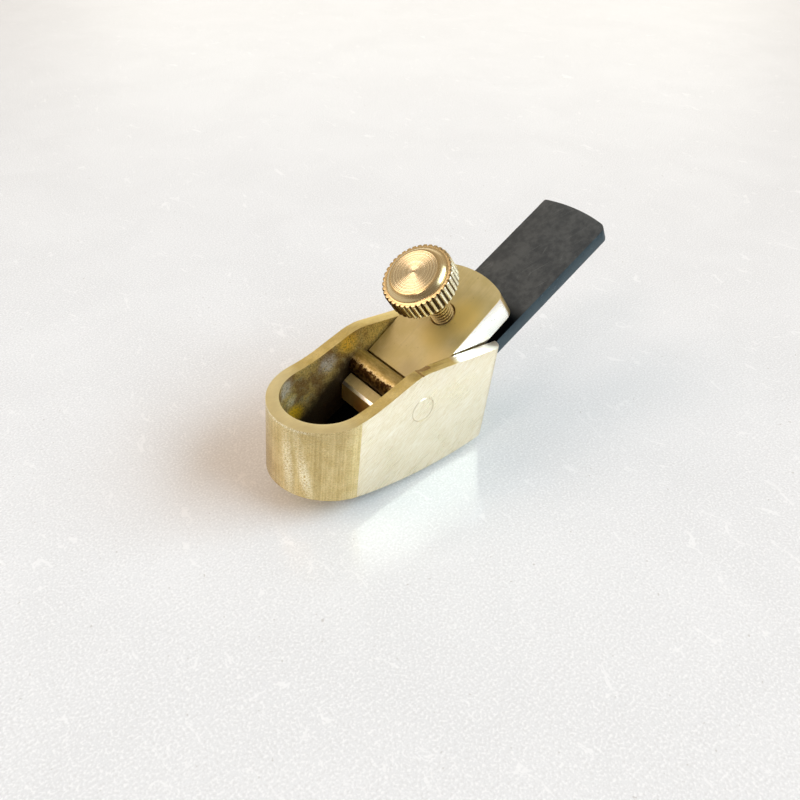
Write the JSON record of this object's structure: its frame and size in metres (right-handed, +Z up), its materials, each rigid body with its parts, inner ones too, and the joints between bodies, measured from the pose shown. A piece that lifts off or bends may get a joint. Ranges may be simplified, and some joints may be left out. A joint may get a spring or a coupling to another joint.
{
  "type": "finger plane",
  "caption": "Small brass hand plane with a round nose and a convex sole; a lever cap hooked under a cross pin and a knurled thumbscrew clamp its black steel iron.",
  "frame": {"origin": "the point of the sole that the plane stands on, under its centre of mass", "axes": "+Z up from the table, +X level towards the round nose, +Y to the plane's left side. The walls are tilted nose-up by 5.2 degrees in this frame, because the plane balances on its convex sole."},
  "size_m": [0.0697, 0.019, 0.0369],
  "materials": {
    "cast_brass": "outside linished to a satin with fine diagonal lines, inside left as cast with a dark olive patina",
    "satin_brass": "satin, faces filed flat, edges lightly broken",
    "turned_brass": "turned bright, straight knurl on the screw's head",
    "black_steel": "black oxide, matt, ground edge bright"
  },
  "bodies": {
    "body": {"body": "cast_brass", "cross_pin": "turned_brass"},
    "iron": {"iron": "black_steel"},
    "lever_cap": {"lever_cap": "satin_brass"},
    "screw_stud": {"thumbscrew_stud": "turned_brass"},
    "screw_head": {"thumbscrew_head": "turned_brass"}
  },
  "joints": [
    {"name": "iron_slide", "type": "slide", "parent": "body", "child": "iron", "axis": [0.8836, 0, -0.4682], "range_m": [-0.03, 0.0008]},
    {"name": "cap_tilt", "type": "hinge", "parent": "body", "child": "lever_cap", "pos_m": [0.00579, 0, 0.01519], "axis": [0, -1, 0], "range_deg": [0, 4.1]},
    {"name": "screw_feed", "type": "slide", "parent": "lever_cap", "child": "screw_stud", "axis": [0.5493, 0, 0.8356], "range_m": [0, 0.00106]},
    {"name": "screw_turn", "type": "hinge", "parent": "screw_stud", "child": "screw_head", "pos_m": [-0.00683, 0, 0.02349], "axis": [0.5493, 0, 0.8356], "range_deg": [0, 540]}
  ],
  "couplings": [
    {"joint": "screw_feed", "follows": "screw_turn", "m_per_rad": 0.00011141},
    {"joint": "cap_tilt", "follows": "screw_turn", "ratio": 0.007378}
  ]
}
